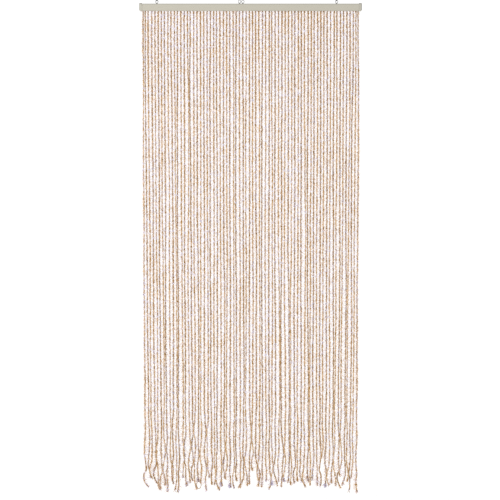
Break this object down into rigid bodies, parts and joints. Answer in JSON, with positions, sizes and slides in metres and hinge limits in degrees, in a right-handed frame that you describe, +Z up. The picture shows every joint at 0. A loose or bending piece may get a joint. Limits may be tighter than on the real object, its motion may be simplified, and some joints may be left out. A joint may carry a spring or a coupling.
{
  "type": "foliage string door curtain with its header rail and screw hooks",
  "caption": "Door curtain of long leafy strings that hang side by side from a slim header rail with end caps, wire eyes and screw hooks; uneven hem.",
  "frame": {"origin": "midway along the header rail, at the height of the lintel that the two hooks' collars sit against, in the middle of the rail's depth", "axes": "+Z up, +X along the rail to the right as seen from the front, -Y the front"},
  "size_m": [1, 0.0196, 2.244],
  "materials": {
    "rail": "satin",
    "cap": "moulded",
    "eye": "zinc plated",
    "hook": "blackened",
    "strand": "twisted, leafy"
  },
  "bodies": {
    "root": {"rail": "rail", "end_cap_left": "cap", "end_cap_right": "cap", "eye_left": "eye", "eye_mid_left": "eye", "eye_mid_right": "eye", "eye_right": "eye", "hook_left": "hook", "hook_right": "hook", "strands": "strand"}
  },
  "joints": []
}
